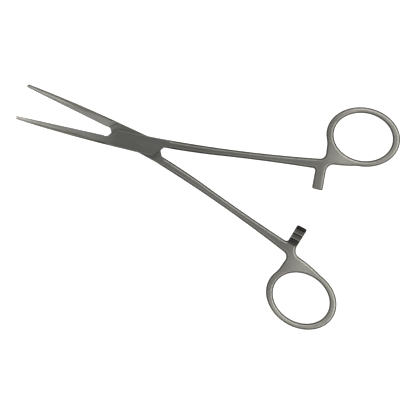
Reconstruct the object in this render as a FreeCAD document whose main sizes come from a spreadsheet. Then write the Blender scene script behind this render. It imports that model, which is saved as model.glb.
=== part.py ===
import FreeCAD, Part
import os

import Sketcher
from FreeCAD import Placement, Rotation, Vector

# Straight box-lock clamp, lying flat. The hinge axis is +Z through the origin and the underside of the
# lock is at z = 0. Finger rings point to +X and jaws to -X. The female half is drawn closed, along X. The
# male half is the same forging turned over about X, with a tongue in place of the box, and is opened
# about the hinge. In the outlines, x runs along the closed clamp and y is positive on the handle's side.
# Both handles lean a little the same way from the line of the jaws, and the two rings don't stand quite
# alike, so the halves aren't exact mirror images.

# Driving sizes, in millimetres and degrees
SIZES = (
    # box lock
    ("box_thick", 5.6),
    ("box_front", 11.1),
    ("box_back", 7.45),
    ("box_end_angle", 52.0),
    ("box_edge_front", 3.35),
    ("box_edge_rear", 4.1),
    ("box_edge_heel", 4.1),
    ("box_edge_break", 0.3),
    ("box_shank_x", 11.5),
    ("box_shank_y", 0.9),
    ("tongue_thick", 1.9),
    ("slot_play", 0.05),
    ("wall_gap", 0.4),
    ("shoulder_gap", 0.8),
    # rivet
    ("rivet_radius", 1.2),
    ("rivet_play", 0.05),
    ("rivet_head_radius", 1.7),
    ("rivet_head_depth", 0.5),
    # jaws
    ("jaw_length", 52.9),
    ("jaw_root", 14.5),
    ("jaw_middle", 32.5),
    ("root_width", 3.65),
    ("middle_width", 2.9),
    ("tip_width", 1.4),
    ("middle_thick", 3.8),
    ("tip_thick", 2.2),
    ("root_land", 3.1),
    ("middle_land", 1.4),
    ("tip_land", 0.5),
    ("grip_break", 0.3),
    ("tip_round", 0.5),
    ("crotch_radius", 1.5),
    ("crotch_x", 15.2),
    ("crotch_depth", 0.2),
    # serrations across the gripping faces
    ("serration_pitch", 0.8),
    ("serration_width", 0.7),
    ("serration_depth", 0.2),
    ("serration_mesh", 0.1),
    ("serration_start", 15.6),
    ("serration_end", 52.5),
    # shank
    ("female_lean", -1.8),
    ("male_lean", -1.45),
    ("handle_start", 6.0),
    ("taper_start", 9.8),
    ("handle_middle", 38.0),
    ("handle_end", 110.0),
    ("handle_thick_front", 5.5),
    ("handle_thick_middle", 4.1),
    ("handle_thick_end", 3.4),
    ("handle_edge_round", 1.1),
    ("shank_outer_start", 3.85),
    ("shank_outer_bend_x", 40.0),
    ("shank_outer_bend_y", 7.05),
    ("shank_inner_start", 0.45),
    ("shank_inner_low_x", 18.0),
    ("shank_inner_low_y", 1.35),
    ("shank_inner_joint_x", 30.0),
    ("shank_inner_joint_y", 2.7),
    ("shank_inner_high_x", 50.0),
    ("shank_inner_high_y", 5.4),
    # finger ring, with the ends of its neck and its foot placed from its centre
    ("neck_x", 76.0),
    ("neck_y", 12.65),
    ("neck_round", 2.5),
    ("ring_x", 89.0),
    ("female_ring_y", 25.4),
    ("male_ring_y", 25.9),
    ("ring_hole_long", 12.4),
    ("ring_hole_short", 9.9),
    ("ring_band_end", 3.05),
    ("ring_band_side", 2.4),
    ("ring_tilt", 3.0),
    ("neck_top_back", 14.2),
    ("neck_top_drop", 3.25),
    ("foot_middle_back", 0.5),
    ("foot_middle_y", 12.85),
    ("foot_end_ahead", 6.0),
    ("foot_end_y", 15.2),
    ("ring_blend", 8.0),
    # ratchet bar
    ("bar_front_x", 73.0),
    ("bar_rear_x", 77.2),
    ("bar_front_drift", 0.5),
    ("bar_rear_drift", 0.85),
    ("bar_root_front_y", 7.85),
    ("bar_root_rear_y", 11.05),
    ("bar_overlap", 0.5),
    ("bar_front_round", 1.1),
    ("bar_rear_round", 3.2),
    ("bar_tip_round", 0.75),
    # ratchet teeth
    ("rack_x", 71.5),
    ("rack_length", 9.0),
    ("rack_end_y", 8.1),
    ("tooth_pitch", 2.35),
    ("tooth_drop", 0.25),
    ("tooth_height", 0.8),
    ("first_tooth", 1.2),
    ("tip_flat", 0.4),
    ("tip_relief", 0.5),
    # hinge
    ("open_angle", 13.8),
)
TOOTH_COUNT = 3

# Places nearer than this, in millimetres, are the same place
TOUCH = 0.01

# Which way up a half lies: the male half has its y and its z turned over
FEMALE = 1
MALE = -1

doc = FreeCAD.newDocument("clamp")
sheet = doc.addObject("Spreadsheet::Sheet", "Sizes")
for row, (alias, number) in enumerate(SIZES, start=1):
    sheet.set(f"A{row}", alias)
    sheet.set(f"B{row}", str(number))
    sheet.setAlias(f"B{row}", alias)
doc.recompute()


def value(expression):
    """The number that an expression of the sheet's cells has now."""
    return float(sheet.evalExpression(expression.replace("Sizes.", "")))


def signed(side, expression):
    return f"{side} * ({expression})"


def lean_of(side):
    return "Sizes.female_lean" if side == FEMALE else "Sizes.male_lean"


def level(side, expression):
    """Height of a point that lies a distance above the mid-plane of the half before it is turned over."""
    return f"Sizes.box_thick / 2 + {side} * ({expression})"


# Sketches
def new_sketch(body, name, role="XY_Plane"):
    sketch = body.newObject("Sketcher::SketchObject", name)
    plane = next(item for item in body.Origin.OriginFeatures if item.Role == role)
    sketch.AttachmentSupport = [(plane, "")]
    sketch.MapMode = "FlatFace"
    return sketch


def turn(sketch, axis, angle):
    sketch.AttachmentOffset = Placement(Vector(), Rotation(axis, value(angle)))
    sketch.setExpression(".AttachmentOffset.Rotation.Angle", angle)


def shift(sketch, direction, distance):
    sketch.setExpression(f".AttachmentOffset.Base.{direction}", distance)


def bind(sketch, constraint, expression):
    index = sketch.addConstraint(constraint)
    sketch.setExpression(f"Constraints[{index}]", expression)


def bind_point(sketch, geometry, end, x, y):
    bind(sketch, Sketcher.Constraint("DistanceX", -1, 1, geometry, end, value(x)), x)
    bind(sketch, Sketcher.Constraint("DistanceY", -1, 1, geometry, end, value(y)), y)


def draw_outline(sketch, start, *moves):
    """Closed outline. A move is (x, y) for a line, or (x, y, through_x, through_y) for an arc."""
    moves = moves + (start,)
    segments = []
    for begin, move in zip((start,) + moves, moves):
        a = Vector(value(begin[0]), value(begin[1]))
        b = Vector(value(move[0]), value(move[1]))
        ends = (1, 2)
        if len(move) == 2:
            geometry = sketch.addGeometry(Part.LineSegment(a, b))
        else:
            through = Vector(value(move[2]), value(move[3]))
            geometry = sketch.addGeometry(Part.Arc(a, through, b))
            if (through - a).cross(b - through).z < 0:
                ends = (2, 1)
            mark = sketch.addGeometry(Part.Point(through), True)
            bind_point(sketch, mark, 1, move[2], move[3])
            sketch.addConstraint(Sketcher.Constraint("PointOnObject", mark, 1, geometry))
        bind_point(sketch, geometry, ends[0], begin[0], begin[1])
        segments.append((geometry, ends))
    for (one, one_ends), (other, other_ends) in zip(segments, segments[1:] + segments[:1]):
        sketch.addConstraint(Sketcher.Constraint("Coincident", one, one_ends[1], other, other_ends[0]))


def draw_ellipse(sketch, x, y, half_long, half_short, tilt):
    centre = Vector(value(x), value(y))
    along = Rotation(Vector(0, 0, 1), value(tilt)).multVec(Vector(1, 0))
    across = Rotation(Vector(0, 0, 1), 90).multVec(along)
    curve = Part.Ellipse(centre + along * value(half_long), centre + across * value(half_short), centre)
    ellipse = sketch.addGeometry(curve)
    sketch.exposeInternalGeometry(ellipse)
    long_axis, short_axis = ellipse + 1, ellipse + 2
    bind_point(sketch, ellipse, 3, x, y)
    bind(sketch, Sketcher.Constraint("Distance", long_axis, 2 * value(half_long)), f"2 * ({half_long})")
    bind(sketch, Sketcher.Constraint("Distance", short_axis, 2 * value(half_short)), f"2 * ({half_short})")


def draw_circle(sketch, x, y, radius):
    circle = sketch.addGeometry(Part.Circle(Vector(value(x), value(y)), Vector(0, 0, 1), value(radius)))
    bind_point(sketch, circle, 3, x, y)
    bind(sketch, Sketcher.Constraint("Radius", circle, value(radius)), radius)


# Solid features
def checked(feature):
    doc.recompute()
    if feature.Shape.isNull() or not feature.Shape.isValid() or "Up-to-date" not in feature.State:
        raise RuntimeError(f"{feature.Label} did not build")
    return feature


def pad(body, name, sketch):
    """Raise a plan to the thickness of the lock."""
    feature = body.newObject("PartDesign::Pad", name)
    feature.Profile = sketch
    feature.setExpression("Length", "Sizes.box_thick")
    return checked(feature)


def cut_through(body, name, sketch):
    """Cut an outline through the whole half, to both sides of its plane."""
    feature = body.newObject("PartDesign::Pocket", name)
    feature.Profile = sketch
    feature.Type = "ThroughAll"
    feature.Midplane = True
    return checked(feature)


def dress(body, kind, name, edges, dimension, length):
    """Fillet or chamfer edges of the latest feature."""
    base = body.Tip
    feature = body.newObject(kind, name)
    feature.Base = (base, edges)
    feature.setExpression(dimension, length)
    return checked(feature)


def edge_names(shape, wanted):
    return [f"Edge{number}" for number, edge in enumerate(shape.Edges, start=1) if wanted(edge)]


def is_upright(edge):
    return edge.BoundBox.XLength < TOUCH and edge.BoundBox.YLength < TOUCH


def round_corner(body, name, place, radius):
    """Fillet the upright edge nearest to a place in the plan."""
    shape = body.Tip.Shape
    mark = Vector(place.x, place.y, value("Sizes.box_thick / 2"))
    uprights = [edge for edge in shape.Edges if is_upright(edge)]
    nearest = min(uprights, key=lambda edge: edge.CenterOfMass.distanceToPoint(mark))
    names = edge_names(shape, lambda edge: edge.isSame(nearest))
    return dress(body, "PartDesign::Fillet", name, names, "Radius", radius)


# Shank, ratchet bar and finger ring
def add_handle(body, side):
    lean = lean_of(side)
    ring_y = "Sizes.female_ring_y" if side == FEMALE else "Sizes.male_ring_y"
    ring_centre = ("Sizes.ring_x", signed(side, ring_y))
    ring_tilt = signed(side, "Sizes.ring_tilt")
    neck_top = ("Sizes.ring_x - Sizes.neck_top_back", f"{ring_y} - Sizes.neck_top_drop")
    foot_middle = ("Sizes.ring_x - Sizes.foot_middle_back", "Sizes.foot_middle_y")
    foot_end = ("Sizes.ring_x + Sizes.foot_end_ahead", "Sizes.foot_end_y")
    bar_tip_front = "Sizes.bar_front_x + Sizes.bar_front_drift"
    bar_tip_rear = "Sizes.bar_rear_x + Sizes.bar_rear_drift"

    def at(x, y):
        return (x, signed(side, y))

    plan = new_sketch(body, "HandlePlan")
    turn(plan, Vector(0, 0, 1), lean)
    draw_outline(
        plan,
        at("Sizes.handle_start", "Sizes.shank_outer_start"),
        at("Sizes.neck_x", "Sizes.neck_y") + at("Sizes.shank_outer_bend_x", "Sizes.shank_outer_bend_y"),
        at(*neck_top),
        ring_centre,
        at(*foot_end),
        at("Sizes.bar_rear_x", "Sizes.bar_root_rear_y") + at(*foot_middle),
        at(bar_tip_rear, "-Sizes.bar_overlap"),
        at(bar_tip_front, "-Sizes.bar_overlap"),
        at("Sizes.bar_front_x", "Sizes.bar_root_front_y"),
        at("Sizes.shank_inner_joint_x", "Sizes.shank_inner_joint_y")
        + at("Sizes.shank_inner_high_x", "Sizes.shank_inner_high_y"),
        at("Sizes.handle_start", "Sizes.shank_inner_start")
        + at("Sizes.shank_inner_low_x", "Sizes.shank_inner_low_y"),
    )
    pad(body, "Handle", plan)

    ring = new_sketch(body, "RingPlan")
    turn(ring, Vector(0, 0, 1), lean)
    ring_long = "Sizes.ring_hole_long + Sizes.ring_band_end"
    ring_short = "Sizes.ring_hole_short + Sizes.ring_band_side"
    draw_ellipse(ring, *ring_centre, ring_long, ring_short, ring_tilt)
    pad(body, "Ring", ring)

    hole = new_sketch(body, "RingHolePlan")
    turn(hole, Vector(0, 0, 1), lean)
    draw_ellipse(hole, *ring_centre, "Sizes.ring_hole_long", "Sizes.ring_hole_short", ring_tilt)
    cut_through(body, "RingHole", hole)

    def corner(x, y):
        place = Vector(value(x), side * value(y))
        return Rotation(Vector(0, 0, 1), value(lean)).multVec(place)

    bar_front = corner("Sizes.bar_front_x", "Sizes.bar_root_front_y")
    bar_rear = corner("Sizes.bar_rear_x", "Sizes.bar_root_rear_y")
    round_corner(body, "NeckRound", corner("Sizes.neck_x", "Sizes.neck_y"), "Sizes.neck_round")
    round_corner(body, "BarFrontRound", bar_front, "Sizes.bar_front_round")
    round_corner(body, "BarRearRound", bar_rear, "Sizes.bar_rear_round")
    round_corner(body, "RingTopBlend", corner(*neck_top), "Sizes.ring_blend")
    round_corner(body, "RingFootBlend", corner(*foot_end), "Sizes.ring_blend")

    # The handle thins along an arc from the lock, then along a straight taper
    taper = (
        "(Sizes.handle_thick_middle - Sizes.handle_thick_end) / (Sizes.handle_end - Sizes.handle_middle)"
    )
    arc_run = "(Sizes.handle_middle - Sizes.taper_start)"
    arc_rise = f"(Sizes.handle_thick_front - Sizes.handle_thick_middle - {taper} * {arc_run})"
    halfway_x = f"Sizes.handle_middle - {arc_run} / 2"
    halfway_thick = f"Sizes.handle_thick_middle + {taper} * {arc_run} / 2 + {arc_rise} / 4"
    waste = new_sketch(body, "HandleWaste", "XZ_Plane")
    for face in (1, -1):
        halfway = (halfway_x, level(face, f"({halfway_thick}) / 2"))
        draw_outline(
            waste,
            ("0", level(face, "Sizes.handle_thick_front / 2")),
            ("Sizes.taper_start", level(face, "Sizes.handle_thick_front / 2")),
            ("Sizes.handle_middle", level(face, "Sizes.handle_thick_middle / 2")) + halfway,
            ("Sizes.handle_end", level(face, "Sizes.handle_thick_end / 2")),
            ("Sizes.handle_end", level(face, "Sizes.box_thick")),
            ("0", level(face, "Sizes.box_thick")),
        )
    cut_through(body, "HandleTaper", waste)

    # Round the long edges, then the bar's end; the hidden start and the seams across the faces stay sharp
    unlean = Rotation(Vector(0, 0, 1), -value(lean))
    bar_tip = value("-Sizes.bar_overlap")
    start = value("Sizes.handle_start")

    def is_tip_edge(edge):
        ends = [unlean.multVec(vertex.Point) for vertex in edge.Vertexes]
        return all(abs(side * point.y - bar_tip) < TOUCH for point in ends)

    def is_long_edge(edge):
        if is_upright(edge) or edge.BoundBox.XLength < TOUCH or is_tip_edge(edge):
            return False
        ends = [unlean.multVec(vertex.Point) for vertex in edge.Vertexes]
        return any(abs(point.x - start) > TOUCH for point in ends)

    names = edge_names(body.Tip.Shape, is_long_edge)
    dress(body, "PartDesign::Fillet", "HandleRounds", names, "Radius", "Sizes.handle_edge_round")
    names = edge_names(body.Tip.Shape, is_tip_edge)
    dress(body, "PartDesign::Fillet", "BarTipRound", names, "Radius", "Sizes.bar_tip_round")


def add_box(body, side):
    """The lock's flat-faced block, with slanted ends where the other half leaves it and broken edges."""
    sine = "sin(Sizes.box_end_angle)"
    cosine = "cos(Sizes.box_end_angle)"

    def front_at(y):
        return (f"(({y}) * {cosine} - Sizes.box_front) / {sine}", signed(side, y))

    def back_at(y):
        return (f"(({y}) * {cosine} + Sizes.box_back) / {sine}", signed(side, y))

    # The rear end runs into the shank, so it moves over as the handle leans
    moved = f"{side} * Sizes.box_shank_x * tan({lean_of(side)})"
    outer_rear = f"Sizes.box_edge_rear + {moved}"
    inner_rear = f"Sizes.box_shank_y + {moved}"
    plan = new_sketch(body, "BoxPlan")
    draw_outline(
        plan,
        front_at("Sizes.box_edge_front"),
        front_at("0"),
        ("-Sizes.jaw_root", "0"),
        ("-Sizes.jaw_root", signed(side, "-Sizes.root_width")),
        back_at("-Sizes.box_edge_heel"),
        back_at(inner_rear),
        ("Sizes.box_shank_x", signed(side, inner_rear)),
        ("Sizes.box_shank_x", signed(side, outer_rear)),
    )
    block = pad(body, "Box", plan)

    # Only the outer edges are broken: those where the jaw and the shank go on stay sharp
    hidden_x = (-value("Sizes.jaw_root"), value("Sizes.box_shank_x"))

    def is_outer_edge(edge):
        box = edge.BoundBox
        at_joint = any(abs(box.XMin - x) < TOUCH and abs(box.XMax - x) < TOUCH for x in hidden_x)
        along_joint = box.YLength < TOUCH and abs(box.YMin) < value(inner_rear) + TOUCH
        return box.ZLength < TOUCH and not at_joint and not along_joint

    names = edge_names(block.Shape, is_outer_edge)
    dress(body, "PartDesign::Chamfer", "BoxBreak", names, "Size", "Sizes.box_edge_break")


def add_jaw(body, side):
    """Half-round jaw that tapers both ways from the lock to its tip."""
    sections = []
    for name, x, width, thick, land in (
        ("Root", "Sizes.jaw_root", "Sizes.root_width", "Sizes.box_thick", "Sizes.root_land"),
        ("Middle", "Sizes.jaw_middle", "Sizes.middle_width", "Sizes.middle_thick", "Sizes.middle_land"),
        ("Tip", "Sizes.jaw_length", "Sizes.tip_width", "Sizes.tip_thick", "Sizes.tip_land"),
    ):
        section = new_sketch(body, f"Jaw{name}", "YZ_Plane")
        shift(section, "z", f"-{x}")
        grip = "-Sizes.serration_mesh / 2"
        broken = "Sizes.grip_break - Sizes.serration_mesh / 2"
        flat = f"{thick} / 2 - Sizes.grip_break"

        def at(depth, height):
            return (signed(-side, depth), level(1, height))

        draw_outline(
            section,
            at(grip, f"-({flat})"),
            at(grip, flat),
            at(broken, f"{thick} / 2"),
            at(land, f"{thick} / 2"),
            at(land, f"-{thick} / 2") + at(width, "0"),
            at(broken, f"-{thick} / 2"),
        )
        sections.append(section)
    jaw = body.newObject("PartDesign::AdditiveLoft", "Jaw")
    jaw.Profile = sections[0]
    jaw.Sections = sections[1:]
    return checked(jaw)


def finish_jaw(body, side):
    """Round the tip and open the crotch between the jaws."""
    tip = -value("Sizes.jaw_length")
    land = value("Sizes.tip_land")

    def is_tip_back(edge):
        at_tip = all(abs(vertex.X - tip) < TOUCH for vertex in edge.Vertexes)
        at_land = all(abs(abs(vertex.Y) - land) < TOUCH for vertex in edge.Vertexes)
        return at_tip and at_land

    names = edge_names(body.Tip.Shape, is_tip_back)
    dress(body, "PartDesign::Fillet", "TipRound", names, "Radius", "Sizes.tip_round")

    crotch = new_sketch(body, "CrotchPlan")
    crotch_y = signed(side, "Sizes.crotch_radius - Sizes.crotch_depth")
    draw_circle(crotch, "-Sizes.crotch_x", crotch_y, "Sizes.crotch_radius")
    cut_through(body, "Crotch", crotch)


def lock_section(body, side, name, *ranges):
    """Cut straight through the lock along its slanted ends, between heights above the mid-plane."""
    gap = "Sizes.wall_gap" if side == FEMALE else "Sizes.shoulder_gap"
    section = new_sketch(body, f"{name}Section", "XZ_Plane")
    turn(section, Vector(0, 1, 0), signed(side, "90 - Sizes.box_end_angle"))
    front = f"-(Sizes.box_front + {gap})"
    back = f"Sizes.box_back + {gap}"
    for low, high in ranges:
        draw_outline(
            section,
            (front, level(1, low)),
            (back, level(1, low)),
            (back, level(1, high)),
            (front, level(1, high)),
        )
    cut_through(body, name, section)


def add_rack(body, side):
    """Ratchet teeth on the inner face of the bar: ramps toward the bar's tip, steps toward its root."""
    lean = lean_of(side)
    rack = new_sketch(body, "RackProfile", "YZ_Plane")
    turn(rack, Vector(0, 1, 0), lean)
    shift(rack, "x", f"Sizes.rack_x * sin({lean})")
    shift(rack, "z", f"Sizes.rack_x * cos({lean})")

    def at(y, height):
        return (signed(side, y), level(side, height))

    root = "Sizes.tooth_height / 2"
    crest = "-Sizes.tooth_height / 2"
    first = "Sizes.first_tooth - Sizes.bar_overlap"
    points = [
        at("-2 * Sizes.bar_overlap", "-Sizes.box_thick"),
        at("-2 * Sizes.bar_overlap", "Sizes.tip_relief"),
        at("Sizes.tip_flat - Sizes.bar_overlap", "Sizes.tip_relief"),
    ]
    for tooth in range(TOOTH_COUNT):
        y = f"{first} + {tooth} * Sizes.tooth_pitch"
        points.append(at(y, crest))
        points.append(at(f"{y} + Sizes.tooth_drop", root))
    points.append(at("Sizes.rack_end_y", root))
    points.append(at("Sizes.rack_end_y", "-Sizes.box_thick"))
    draw_outline(rack, *points)
    teeth = body.newObject("PartDesign::Pocket", "Rack")
    teeth.Profile = rack
    teeth.setExpression("Length", "Sizes.rack_length")
    teeth.Reversed = True
    return checked(teeth)


def add_serrations(body, side):
    """Fine grooves across the gripping face; those of one half mesh with the crests of the other."""
    groove = new_sketch(body, "GroovePlan")
    shift_half = "0" if side == FEMALE else "Sizes.serration_pitch / 2"
    middle = f"-(Sizes.serration_start + {shift_half})"
    face = signed(side, "Sizes.serration_mesh / 2")
    bottom = signed(side, "Sizes.serration_mesh / 2 - Sizes.serration_depth")
    outside = signed(side, "Sizes.serration_mesh")
    front = f"{middle} - Sizes.serration_width / 2"
    back = f"{middle} + Sizes.serration_width / 2"
    draw_outline(groove, (front, face), (middle, bottom), (back, face), (back, outside), (front, outside))
    first = cut_through(body, "Groove", groove)
    pattern = body.newObject("PartDesign::LinearPattern", "Serrations")
    pattern.Originals = [first]
    pattern.Direction = (groove, ["H_Axis"])
    pattern.Reversed = True
    count = int(value("(Sizes.serration_end - Sizes.serration_start) / Sizes.serration_pitch"))
    pattern.Length = count * value("Sizes.serration_pitch")
    pattern.Occurrences = count + 1
    body.Tip = pattern
    return checked(pattern)


def revolve(body, kind, name):
    """Turn the rivet's half section about the hinge axis: a shank that flares to a flush head at each end."""
    section = new_sketch(body, f"{name}Section", "XZ_Plane")
    draw_outline(
        section,
        ("0", "0"),
        ("Sizes.rivet_head_radius", "0"),
        ("Sizes.rivet_radius", "Sizes.rivet_head_depth"),
        ("Sizes.rivet_radius", "Sizes.box_thick - Sizes.rivet_head_depth"),
        ("Sizes.rivet_head_radius", "Sizes.box_thick"),
        ("0", "Sizes.box_thick"),
    )
    feature = body.newObject(kind, name)
    feature.Profile = section
    feature.ReferenceAxis = (section, ["V_Axis"])
    return checked(feature)


def build_half(name, side):
    handle = doc.addObject("PartDesign::Body", f"{name}_handle")
    body = doc.addObject("PartDesign::Body", name)
    doc.recompute()
    add_handle(handle, side)
    add_box(body, side)
    add_jaw(body, side)
    finish_jaw(body, side)
    forging = body.newObject("PartDesign::Boolean", "Forging")
    forging.Type = "Fuse"
    forging.setObjects([handle])
    checked(forging)

    tongue_face = "Sizes.tongue_thick / 2"
    slot_face = "Sizes.tongue_thick / 2 + Sizes.slot_play"
    outside = "Sizes.box_thick"
    if side == FEMALE:
        lock_section(body, side, "Slot", (f"-({slot_face})", slot_face))
        revolve(body, "PartDesign::Groove", "RivetSeat")
    else:
        lock_section(body, side, "Tongue", (tongue_face, outside), (f"-{outside}", f"-{tongue_face}"))
        hole = new_sketch(body, "RivetHolePlan")
        draw_circle(hole, "0", "0", "Sizes.rivet_radius + Sizes.rivet_play")
        cut_through(body, "RivetHole", hole)
    add_rack(body, side)
    add_serrations(body, side)
    return body


female = build_half("female_half", FEMALE)
male = build_half("male_half", MALE)
male.Placement = Placement(Vector(), Rotation(Vector(0, 0, 1), -value("Sizes.open_angle")))
male.setExpression(".Placement.Rotation.Angle", "-Sizes.open_angle")
rivet = doc.addObject("PartDesign::Body", "pivot_rivet")
doc.recompute()
revolve(rivet, "PartDesign::Revolution", "Rivet")
doc.recompute()

os.makedirs("parts", exist_ok=True)
for part in (female, male, rivet):
    if part.Shape.isNull() or not part.Shape.isValid() or len(part.Shape.Solids) != 1:
        raise RuntimeError(f"{part.Label} isn't one sound solid")
    print(part.Label, round(part.Shape.Volume, 3))
    part.Shape.exportStep(f"parts/{part.Label}.step")
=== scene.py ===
import math

import bpy
from mathutils import Euler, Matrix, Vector

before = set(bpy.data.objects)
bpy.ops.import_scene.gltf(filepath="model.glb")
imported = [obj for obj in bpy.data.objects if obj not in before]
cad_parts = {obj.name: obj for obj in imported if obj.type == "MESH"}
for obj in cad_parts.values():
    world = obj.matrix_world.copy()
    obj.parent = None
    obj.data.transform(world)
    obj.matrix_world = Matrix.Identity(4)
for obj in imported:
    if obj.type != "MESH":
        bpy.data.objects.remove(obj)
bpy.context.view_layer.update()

# The photograph: camera straight above, with the jaws' line turned in the picture
PICTURE_TURN = math.radians(12.5)
PICTURE_CENTRE = (0.0331, -0.0202)
PICTURE_WIDTH = 0.1733
CAMERA_HEIGHT = 1.6
SENSOR_WIDTH = 36.0

# Angles of the two halves' long axes in the frame
FEMALE_AXIS = math.radians(-1.8)
MALE_AXIS = math.radians(-15.25)

# Steel: its tone, and painted light and shade along a half as (metres from the hinge, times the tone):
# painted highlights at the jaw tips and rings, painted shade over the lock and shanks
STEEL = (0.165, 0.161, 0.145)
ROUGHNESS = 0.38
LENGTH = (-0.055, 0.11)
FEMALE_JAW = ((-0.052, 2.4), (-0.043, 1.5), (-0.030, 1.4), (-0.020, 1.15))
MALE_JAW = ((-0.052, 1.15), (-0.017, 1.45))
LOCK = ((-0.010, 0.65), (0.009, 0.7))
FEMALE_SHANK = ((0.020, 0.6), (0.060, 0.85), (0.075, 0.8))
MALE_SHANK = ((0.030, 0.85), (0.075, 0.85))
RING = ((0.083, 1.4), (0.095, 1.15))

# Painted shade by how level a face lies, from 0 for an upright wall to 1 for a flat: slanting edges are
# painted darker and browner than either, and the rings' near-level faces get a painted highlight. One list
# is for the jaws and shanks, the other for the rings.
SHANK_SLANT_SHADE = (
    (0.0, 0.80), (0.10, 0.75), (0.25, (0.30, 0.28, 0.25)), (0.45, (0.36, 0.34, 0.30)),
    (0.72, (0.75, 0.73, 0.70)), (0.90, 1.0), (0.985, 1.0), (0.998, (0.88, 0.90, 0.94)),
)
RING_SLANT_SHADE = (
    (0.0, 0.80), (0.10, 0.75), (0.25, (0.30, 0.26, 0.21)), (0.45, (0.46, 0.42, 0.35)),
    (0.75, (0.68, 0.66, 0.63)), (0.93, 0.92), (0.99, 1.15),
)
# Where along a half the rings' list takes over, and how strongly the lists tell
RING_SHARE = ((0.070, 0.0), (0.078, 1.0))
SLANT_STRENGTH = ((-0.052, 0.15), (-0.044, 0.65), (-0.014, 0.70), (0.010, 1.0))
# Painted highlight on the lock's chamfered edges, lighter where a face slants by half a right angle, up to
# this far from the hinge
LOCK_EDGE_HIGHLIGHT = ((0.60, 1.0), (0.66, 2.2), (0.76, 2.2), (0.82, 1.0))
LOCK_REACH = 0.0125

# Surface: scale and stretch of the noise, and the tones it gives
STREAKS = (5000.0, (0.06, 1.0, 1.0), 3.0)
GRIT = (9000.0, (1.0, 1.0, 1.0), 3.0)
PATCHES = (120.0, (0.4, 1.0, 1.0), 4.0)
NOISE_ROUGHNESS = 0.6
PATCH_TONE = ((0.3, 0.9), (0.55, 1.0), (0.75, 1.08))
STREAK_TONE = ((0.3, 0.90), (0.7, 1.0))
SMOOTHER, ROUGHER = 0.05, 0.06
BUMP = {"Strength": 0.15, "Distance": 0.00002}
ANISOTROPY = 0.3
EDGE_TINT = (0.25, 0.25, 0.25, 1.0)

# Ratchet: its place on a half and its teeth, in metres
RACK_ALONG = (0.0715, 0.0805)
RACK_OUT = 0.0081
RACK_MIDDLE = 0.0028
RACK_HALF_HEIGHT = 0.0005
FIRST_TOOTH = 0.0007
TOOTH_PITCH = 0.00235
# Painted shade from one tooth's root up its face, and a painted highlight along its crest
TOOTH_SHADE_AND_HIGHLIGHT = ((0.0, 0.20), (0.84, 0.24), (0.92, 0.70), (1.0, 0.70))

# Stage, in metres, and the light
FLOOR_SIZE = 6.0
FLOOR_Z = -0.0001
FLOOR_GREY = 0.30
WORLD_LEVEL = 0.56
LAMP_DISTANCE = 1.2
LAMP_SIZE = (1.0, 0.5)
VIEW_END = 20.0


# Materials
class Nodes:
    """Short calls for building one material's node tree."""

    def __init__(self, name):
        self.material = bpy.data.materials.new(name)
        self.material.use_nodes = True
        self.tree = self.material.node_tree
        self.tree.nodes.clear()

    def add(self, kind, values=(), **settings):
        node = self.tree.nodes.new(kind)
        for key, setting in settings.items():
            setattr(node, key, setting)
        for socket, number in dict(values).items():
            node.inputs[socket].default_value = number
        return node

    def link(self, source, target):
        self.tree.links.new(source, target)

    def math(self, operation, *operands):
        node = self.add("ShaderNodeMath", operation=operation)
        for socket, operand in zip(node.inputs, operands):
            if isinstance(operand, (int, float)):
                socket.default_value = operand
            else:
                self.link(operand, socket)
        return node.outputs["Value"]

    def ramp(self, source, stops):
        node = self.add("ShaderNodeValToRGB")
        elements = node.color_ramp.elements
        while len(elements) < len(stops):
            elements.new(0.5)
        for element, (place, shade) in zip(elements, stops):
            element.position = place
            element.color = (*shade, 1.0) if isinstance(shade, tuple) else (shade, shade, shade, 1.0)
        self.link(source, node.inputs["Fac"])
        return node.outputs["Color"]

    def mix(self, blend, factor, one, other):
        node = self.add("ShaderNodeMix", data_type="RGBA", blend_type=blend)
        for socket, source in (("Factor", factor), ("A", one), ("B", other)):
            if isinstance(source, (int, float, tuple)):
                node.inputs[socket].default_value = source
            else:
                self.link(source, node.inputs[socket])
        return node.outputs["Result"]


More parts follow.
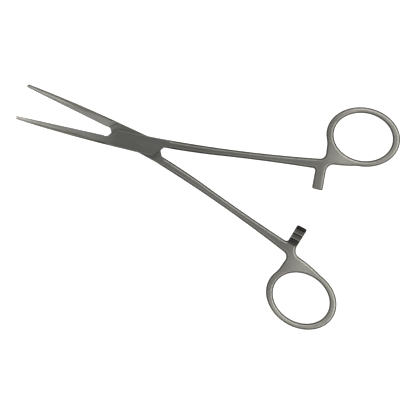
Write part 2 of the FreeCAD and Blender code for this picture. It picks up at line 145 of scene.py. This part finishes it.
def satin_steel(name, axis, painted_light):
    """Satin steel: fine lengthwise grain over a soft blast, with painted light and shade along its length,
    painted shade on slanting edges and in the ratchet, and painted highlights on the lock edges and tooth
    crests.
    """
    n = Nodes(name)
    place = n.add("ShaderNodeTexCoord")
    along = n.add("ShaderNodeMapping", {"Rotation": (0.0, 0.0, axis)}, vector_type="TEXTURE")
    n.link(place.outputs["Object"], along.inputs["Vector"])
    where = n.add("ShaderNodeSeparateXYZ")
    n.link(along.outputs["Vector"], where.inputs["Vector"])

    def noise(scale, stretch, detail):
        squeeze = n.add("ShaderNodeMapping", {"Scale": stretch})
        n.link(along.outputs["Vector"], squeeze.inputs["Vector"])
        settings = {"Scale": scale, "Detail": detail, "Roughness": NOISE_ROUGHNESS}
        texture = n.add("ShaderNodeTexNoise", settings)
        n.link(squeeze.outputs["Vector"], texture.inputs["Vector"])
        return texture.outputs["Fac"]

    streaks = noise(*STREAKS)
    patches = [(at, tuple(times * channel for channel in STEEL)) for at, times in PATCH_TONE]
    tone = n.ramp(noise(*PATCHES), patches)
    tone = n.mix("MULTIPLY", 1.0, tone, n.ramp(streaks, STREAK_TONE))

    run = n.add("ShaderNodeMapRange", {"From Min": LENGTH[0], "From Max": LENGTH[1]})
    n.link(where.outputs["X"], run.inputs["Value"])

    def by_length(stops):
        places = [((x - LENGTH[0]) / (LENGTH[1] - LENGTH[0]), level) for x, level in stops]
        return n.ramp(run.outputs["Result"], places)

    # Painted light and shade along the clamp, from the jaws over the darker lock to the paler rings
    tone = n.mix("MULTIPLY", 1.0, tone, by_length(painted_light))

    # Painted shade: slanting edges are darker than the flats; and a painted highlight on the lock's
    # chamfered edges
    normal = n.add("ShaderNodeNewGeometry")
    facing = n.add("ShaderNodeSeparateXYZ")
    n.link(normal.outputs["Normal"], facing.inputs["Vector"])
    level = n.math("ABSOLUTE", facing.outputs["Z"])
    slant = n.mix("MIX", by_length(RING_SHARE), n.ramp(level, SHANK_SLANT_SHADE), n.ramp(level, RING_SLANT_SHADE))
    tone = n.mix("MULTIPLY", by_length(SLANT_STRENGTH), tone, slant)
    in_lock = n.math("LESS_THAN", n.math("ABSOLUTE", where.outputs["X"]), LOCK_REACH)
    tone = n.mix("MULTIPLY", in_lock, tone, n.ramp(level, LOCK_EDGE_HIGHLIGHT))

    # Painted shade over the cut teeth, with a painted highlight along each crest
    out = n.math("ABSOLUTE", where.outputs["Y"])
    depth = n.math("ABSOLUTE", n.math("SUBTRACT", where.outputs["Z"], RACK_MIDDLE))
    in_rack = n.math("GREATER_THAN", where.outputs["X"], RACK_ALONG[0])
    in_rack = n.math("MULTIPLY", in_rack, n.math("LESS_THAN", where.outputs["X"], RACK_ALONG[1]))
    in_rack = n.math("MULTIPLY", in_rack, n.math("LESS_THAN", out, RACK_OUT))
    in_rack = n.math("MULTIPLY", in_rack, n.math("LESS_THAN", depth, RACK_HALF_HEIGHT))
    tooth = n.math("FRACT", n.math("DIVIDE", n.math("SUBTRACT", out, FIRST_TOOTH), TOOTH_PITCH))
    tone = n.mix("MULTIPLY", in_rack, tone, n.ramp(tooth, TOOTH_SHADE_AND_HIGHLIGHT))

    rough = n.add("ShaderNodeMapRange", {"To Min": ROUGHNESS - SMOOTHER, "To Max": ROUGHNESS + ROUGHER})
    n.link(streaks, rough.inputs["Value"])

    bump = n.add("ShaderNodeBump", BUMP)
    n.link(n.math("ADD", streaks, noise(*GRIT)), bump.inputs["Height"])

    shader = n.add("ShaderNodeBsdfPrincipled", {"Metallic": 1.0, "Anisotropic": ANISOTROPY})
    shader.inputs["Specular Tint"].default_value = EDGE_TINT
    n.link(tone, shader.inputs["Base Color"])
    n.link(rough.outputs["Result"], shader.inputs["Roughness"])
    n.link(bump.outputs["Normal"], shader.inputs["Normal"])
    output = n.add("ShaderNodeOutputMaterial")
    n.link(shader.outputs["BSDF"], output.inputs["Surface"])
    return n.material


# Painted light and shade along each half, from the jaw tips over the lock to the rings; the rivet takes the
# lock's painted shade
FEMALE_PAINTED_LIGHT = FEMALE_JAW + LOCK + FEMALE_SHANK + RING
MALE_PAINTED_LIGHT = MALE_JAW + LOCK + MALE_SHANK + RING
MATERIALS = {
    "female_half": satin_steel("satin_steel_female", FEMALE_AXIS, FEMALE_PAINTED_LIGHT),
    "male_half": satin_steel("satin_steel_male", MALE_AXIS, MALE_PAINTED_LIGHT),
    "pivot_rivet": satin_steel("rivet_steel", FEMALE_AXIS, LOCK),
}
for node, material in MATERIALS.items():
    for slot in bpy.data.objects[node].material_slots:
        slot.material = material


# Floor: plain white to the camera and in reflections, and it still takes the clamp's shadow
def white_floor():
    n = Nodes("white_floor")
    path = n.add("ShaderNodeLightPath")
    seen = n.math("MAXIMUM", path.outputs["Is Camera Ray"], path.outputs["Is Glossy Ray"])
    seen = n.math("MAXIMUM", seen, path.outputs["Is Transmission Ray"])
    matt = n.add("ShaderNodeBsdfDiffuse", {"Color": (FLOOR_GREY, FLOOR_GREY, FLOOR_GREY, 1.0)})
    glow = n.add("ShaderNodeEmission", {"Color": (1.0, 1.0, 1.0, 1.0)})
    n.link(seen, glow.inputs["Strength"])
    both = n.add("ShaderNodeAddShader")
    n.link(matt.outputs["BSDF"], both.inputs[0])
    n.link(glow.outputs["Emission"], both.inputs[1])
    output = n.add("ShaderNodeOutputMaterial")
    n.link(both.outputs["Shader"], output.inputs["Surface"])
    return n.material


bpy.ops.mesh.primitive_plane_add(size=FLOOR_SIZE, location=(*PICTURE_CENTRE, FLOOR_Z))
floor = bpy.context.object
floor.name = "floor"
floor.data.materials.append(white_floor())


# Light
def softbox(name, azimuth, elevation, watts):
    """Area lamp aimed at the middle of the clamp. The azimuth is counted in the picture, from its right
    side toward its top."""
    turn = PICTURE_TURN + math.radians(azimuth)
    rise = math.radians(elevation)
    direction = Vector((math.cos(rise) * math.cos(turn), math.cos(rise) * math.sin(turn), math.sin(rise)))
    lamp = bpy.data.lights.new(name, "AREA")
    lamp.shape = "RECTANGLE"
    lamp.size, lamp.size_y = LAMP_SIZE
    lamp.energy = watts
    holder = bpy.data.objects.new(name, lamp)
    holder.location = Vector((*PICTURE_CENTRE, 0.0)) + direction * LAMP_DISTANCE
    holder.rotation_euler = direction.to_track_quat("Z", "Y").to_euler()
    bpy.context.scene.collection.objects.link(holder)


# Most of the light comes from the right side of the picture
softbox("right_low", -45, 45, 5.2)
softbox("key", 0, 45, 6.6)
softbox("right_high", 45, 55, 5.0)
softbox("top", 90, 60, 3.3)
softbox("left_low", -135, 60, 3.3)
softbox("left_high", 150, 45, 1.6)

world = bpy.data.worlds.new("studio")
bpy.context.scene.world = world
world.use_nodes = True
background = world.node_tree.nodes["Background"]
background.inputs["Color"].default_value = (WORLD_LEVEL, WORLD_LEVEL, WORLD_LEVEL, 1.0)
background.inputs["Strength"].default_value = 1.0
bpy.context.scene.view_settings.view_transform = "Standard"

# Camera
camera_data = bpy.data.cameras.new("camera")
camera_data.sensor_width = SENSOR_WIDTH
camera_data.lens = SENSOR_WIDTH * CAMERA_HEIGHT / PICTURE_WIDTH
camera_data.clip_end = VIEW_END
camera = bpy.data.objects.new("camera", camera_data)
camera.location = (*PICTURE_CENTRE, CAMERA_HEIGHT)
camera.rotation_euler = Euler((0.0, 0.0, PICTURE_TURN))
bpy.context.scene.collection.objects.link(camera)
bpy.context.scene.camera = camera
